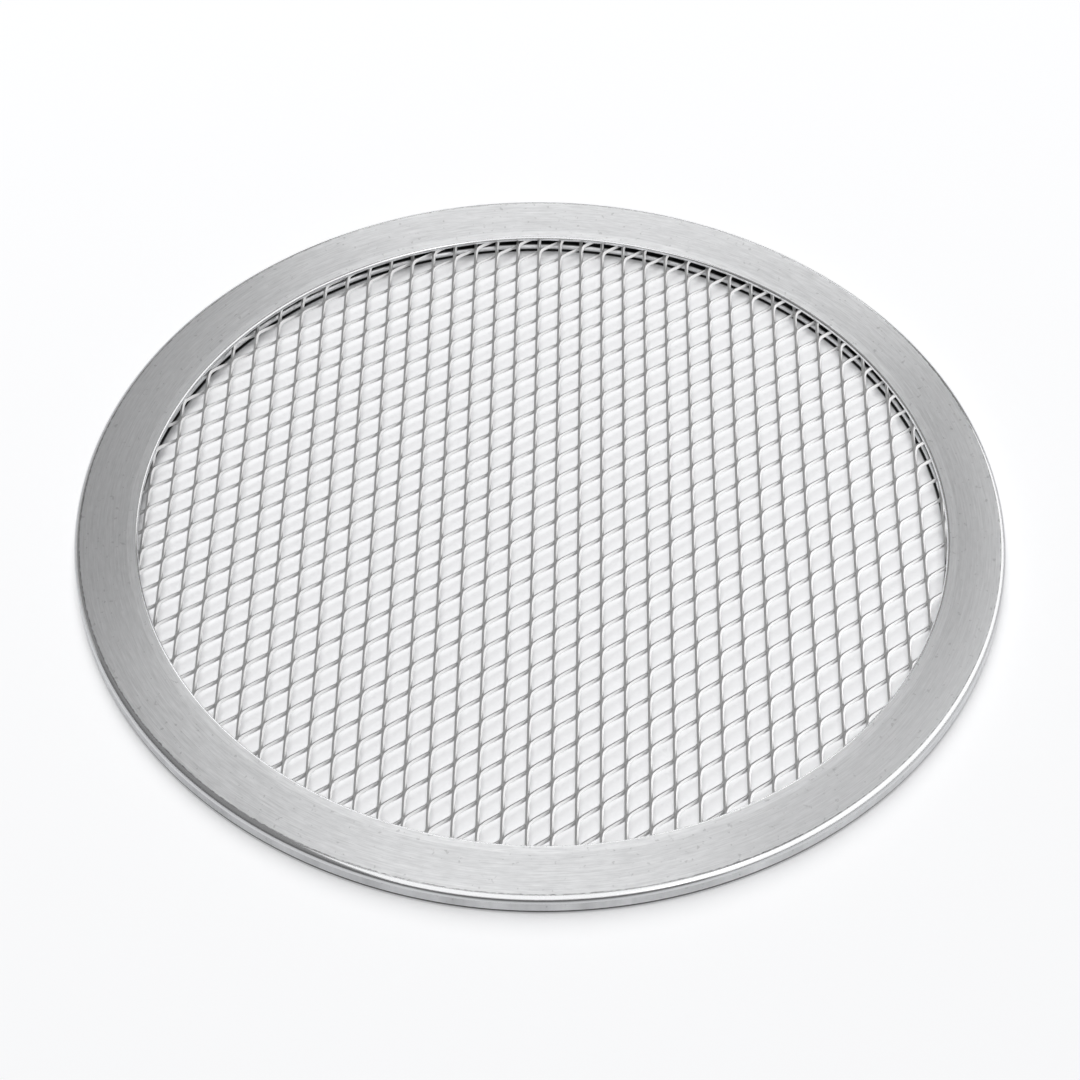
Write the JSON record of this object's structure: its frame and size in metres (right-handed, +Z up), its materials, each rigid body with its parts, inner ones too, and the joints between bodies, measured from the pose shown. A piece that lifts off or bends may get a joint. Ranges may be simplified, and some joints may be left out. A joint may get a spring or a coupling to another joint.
{
  "type": "pizza screen",
  "caption": "Round flat baking screen: a disc of raised expanded aluminium mesh clamped in a folded channel rim, so that a pizza base bakes over open air.",
  "frame": {"origin": "on the table, under the middle of the disc", "axes": "+Z up through the disc, X along the long way of the mesh openings, Y along their short way, towards the upper edges of the leaning strands"},
  "size_m": [0.254, 0.254, 0.0061],
  "materials": {
    "brushed_rim": "brushed along the rim, satin",
    "mill_mesh": "mill finish, sheared edges"
  },
  "bodies": {
    "root": {"rim": "brushed_rim", "mesh": "mill_mesh"}
  },
  "joints": []
}
